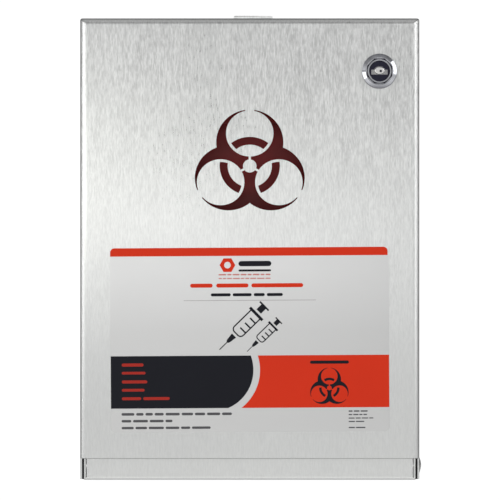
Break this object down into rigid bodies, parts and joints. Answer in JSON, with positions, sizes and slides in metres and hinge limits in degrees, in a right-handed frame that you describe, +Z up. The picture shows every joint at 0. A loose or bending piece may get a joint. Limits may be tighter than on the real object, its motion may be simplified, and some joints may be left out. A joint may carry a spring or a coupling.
{
  "type": "sharps container",
  "caption": "Wall-mounted steel sharps cabinet with a tip-down locking front cover, trefoil window, drop chute and a lidded disposable container inside.",
  "frame": {"origin": "on the wall plane, in the middle of the four wall screw holes in the back plate", "axes": "+Z up, -Y out of the front, +X to the right as seen from the front"},
  "size_m": [0.2173, 0.124, 0.3042],
  "materials": {
    "housing_steel": "vertical brushed",
    "cover_steel": "vertical brushed",
    "pin_steel": "satin",
    "spacer_nylon": "moulded",
    "bumper_rubber": "moulded",
    "label_film": "printed silver film",
    "chute_steel": "satin",
    "lock_chrome": "polished",
    "lock_zinc": "zinc plated",
    "plug_dark": "dark polished",
    "wafer_brass": "satin",
    "container_red": "translucent moulded",
    "lid_red": "moulded",
    "gasket_grey": "foam",
    "shutter_white": "moulded"
  },
  "bodies": {
    "housing": {"back_housing": "housing_steel", "hanging_tab": "housing_steel", "container_stop": "housing_steel", "lock_strike": "housing_steel", "cover_bumpers": "bumper_rubber", "hinge_pin_left": "pin_steel", "hinge_pin_right": "pin_steel", "hinge_spacer_left": "spacer_nylon", "hinge_spacer_right": "spacer_nylon"},
    "cover": {"front_cover": "cover_steel", "front_label": "label_film", "drop_chute": "chute_steel", "chute_ring": "chute_steel", "lock_body": "lock_chrome", "lock_washer": "lock_zinc", "lock_nut": "lock_zinc"},
    "plug": {"lock_plug": "plug_dark", "lock_wafers": "wafer_brass", "plug_clip": "lock_zinc", "lock_cam": "lock_zinc", "cam_washer": "lock_zinc", "cam_screw": "lock_zinc"},
    "flap": {"key_flap": "lock_chrome"},
    "container": {"container_body": "container_red", "lid_gasket": "gasket_grey", "container_lid": "lid_red", "mouth_collar": "lid_red"},
    "shutter": {"mouth_shutter": "shutter_white"}
  },
  "joints": [
    {"name": "cover_hinge", "type": "hinge", "parent": "housing", "child": "cover", "pos_m": [0, -0.1142, -0.1376], "axis": [1, 0, 0], "range_deg": [0, 90]},
    {"name": "key_turn", "type": "hinge", "parent": "cover", "child": "plug", "pos_m": [0.0824, -0.121, 0.1131], "axis": [0, -1, 0], "range_deg": [0, 90]},
    {"name": "key_flap_swing", "type": "hinge", "parent": "plug", "child": "flap", "pos_m": [0.0824, -0.1219, 0.1164], "axis": [1, 0, 0], "range_deg": [0, 70], "stiffness_Nm_per_rad": 0.002},
    {"name": "container_lift", "type": "slide", "parent": "housing", "child": "container", "axis": [0, 0, 1], "range_m": [0, 0.004]},
    {"name": "mouth_shut", "type": "slide", "parent": "container", "child": "shutter", "axis": [-1, 0, 0], "range_m": [0, 0.059]}
  ]
}
